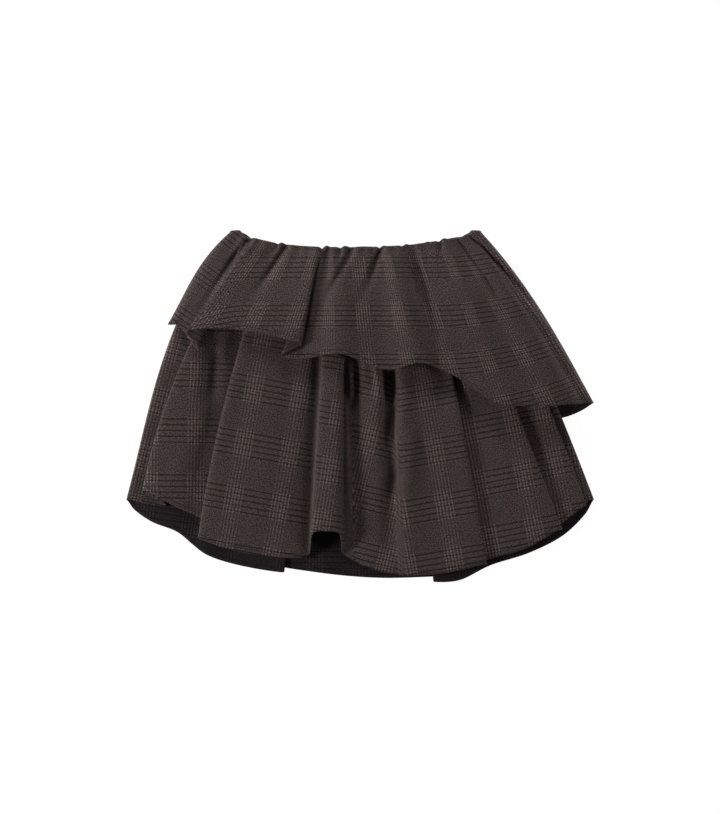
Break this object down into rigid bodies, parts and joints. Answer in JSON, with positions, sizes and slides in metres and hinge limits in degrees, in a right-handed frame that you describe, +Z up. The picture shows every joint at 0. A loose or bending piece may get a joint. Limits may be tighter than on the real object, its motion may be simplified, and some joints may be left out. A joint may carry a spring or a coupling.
{
  "type": "tiered ruffle skirt",
  "caption": "Short skirt with two flared tiers of checked suiting, the short upper one slanted, gathered on an elastic waist and laid flat",
  "frame": {"origin": "middle of the laid skirt's outline, on the surface that it rests on", "axes": "+X across the skirt to the wearer's left as seen from the front, +Y from the hem up to the waist, +Z up off the surface, through the front of the skirt"},
  "size_m": [0.5627, 0.4224, 0.0287],
  "materials": {
    "overlay_front_cloth": "matt suiting, brown and charcoal glen check",
    "overlay_back_cloth": "matt suiting, brown and charcoal glen check",
    "skirt_front_cloth": "matt suiting, brown and charcoal glen check",
    "skirt_back_cloth": "matt suiting, brown and charcoal glen check"
  },
  "bodies": {
    "root": {"overlay_front": "overlay_front_cloth", "overlay_back": "overlay_back_cloth", "skirt_front": "skirt_front_cloth", "skirt_back": "skirt_back_cloth"}
  },
  "joints": []
}
